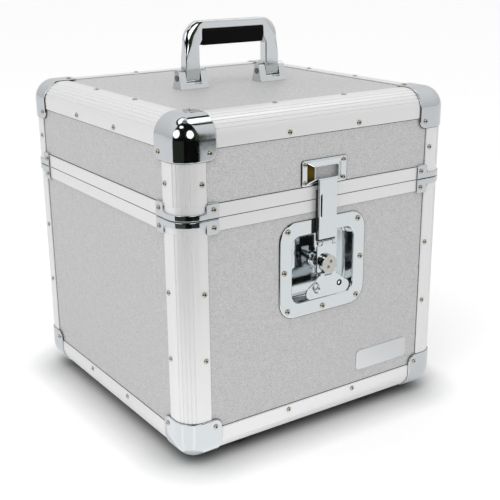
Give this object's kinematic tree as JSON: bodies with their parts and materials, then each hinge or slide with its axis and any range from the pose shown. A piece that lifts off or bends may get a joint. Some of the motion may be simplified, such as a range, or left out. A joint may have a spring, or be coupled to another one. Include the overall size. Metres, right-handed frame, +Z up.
{
  "type": "record carrying case",
  "caption": "Square aluminium-edged carrying case for vinyl records, with a rear-hinged lid, butterfly draw latch, corner caps and a folding top handle.",
  "frame": {"origin": "middle of the case's footprint, on the plane that the feet stand on", "axes": "+Z up, +X to the right of someone facing the latch, the latch faces -Y and the hinges are at +Y"},
  "size_m": [0.3556, 0.372, 0.4386],
  "materials": {
    "panel": "light grey fine-speckled laminate on plywood",
    "alloy": "satin anodised",
    "chrome": "bright plated",
    "rivet": "dull domed heads",
    "pin_steel": "drawn wire",
    "plate": "brushed, bare",
    "foam": "dense dark foam sheet",
    "foot_rubber": "moulded",
    "grip": "soft satin black"
  },
  "bodies": {
    "base": {"base_floor": "panel", "base_panel_front": "panel", "base_panel_right": "panel", "base_panel_back": "panel", "base_panel_left": "panel", "base_column_front_left": "alloy", "base_column_front_right": "alloy", "base_column_back_left": "alloy", "base_column_back_right": "alloy", "base_edge_front": "alloy", "base_edge_right": "alloy", "base_edge_back": "alloy", "base_edge_left": "alloy", "base_corner_front_left": "chrome", "base_corner_front_right": "chrome", "base_corner_back_left": "chrome", "base_corner_back_right": "chrome", "base_rim": "alloy", "base_braces": "chrome", "base_lining": "foam", "base_rivets": "rivet", "feet": "foot_rubber", "foot_screws": "pin_steel", "latch_dish": "chrome", "hinge_base_leaves": "chrome", "hinge_pins": "pin_steel", "plain_plate": "plate"},
    "lid": {"lid_top": "panel", "lid_panel_front": "panel", "lid_panel_right": "panel", "lid_panel_back": "panel", "lid_panel_left": "panel", "lid_column_front_left": "alloy", "lid_column_front_right": "alloy", "lid_column_back_left": "alloy", "lid_column_back_right": "alloy", "lid_edge_front": "alloy", "lid_edge_right": "alloy", "lid_edge_back": "alloy", "lid_edge_left": "alloy", "lid_corners_front": "chrome", "lid_corners_back": "chrome", "lid_rim": "alloy", "lid_braces": "chrome", "lid_lining": "foam", "lid_rivets": "rivet", "keeper": "chrome", "hinge_lid_leaves": "chrome", "handle_brackets": "chrome", "handle_pins": "pin_steel"},
    "handle": {"handle_frame": "chrome", "handle_grip": "grip"},
    "spindle": {"latch_spindle": "chrome", "latch_wing_pin": "pin_steel"},
    "wing": {"latch_wing": "chrome", "latch_eye": "chrome"},
    "link": {"latch_link": "chrome", "latch_bar_pin": "pin_steel"},
    "bar": {"latch_bar": "chrome"}
  },
  "joints": [
    {"name": "lid_hinge", "type": "hinge", "parent": "base", "child": "lid", "pos_m": [0, 0.182, 0.2666], "axis": [-1, 0, 0], "range_deg": [0, 105]},
    {"name": "handle_fold", "type": "hinge", "parent": "lid", "child": "handle", "pos_m": [0, 0, 0.377], "axis": [1, 0, 0], "range_deg": [-90, 90]},
    {"name": "wing_turn", "type": "hinge", "parent": "base", "child": "spindle", "pos_m": [0, -0.175, 0.196], "axis": [0, 1, 0], "range_deg": [0, 90]},
    {"name": "wing_fold", "type": "hinge", "parent": "spindle", "child": "wing", "pos_m": [0, -0.1826, 0.1852], "axis": [-1, 0, 0], "range_deg": [0, 90]},
    {"name": "bar_lift", "type": "slide", "parent": "base", "child": "link", "axis": [0, 0, 1], "range_m": [0, 0.007]},
    {"name": "bar_swing", "type": "hinge", "parent": "link", "child": "bar", "pos_m": [0, -0.1796, 0.219], "axis": [1, 0, 0], "range_deg": [0, 70]}
  ],
  "couplings": [
    {"joint": "bar_lift", "follows": "wing_turn", "m_per_rad": 0.0044559}
  ]
}
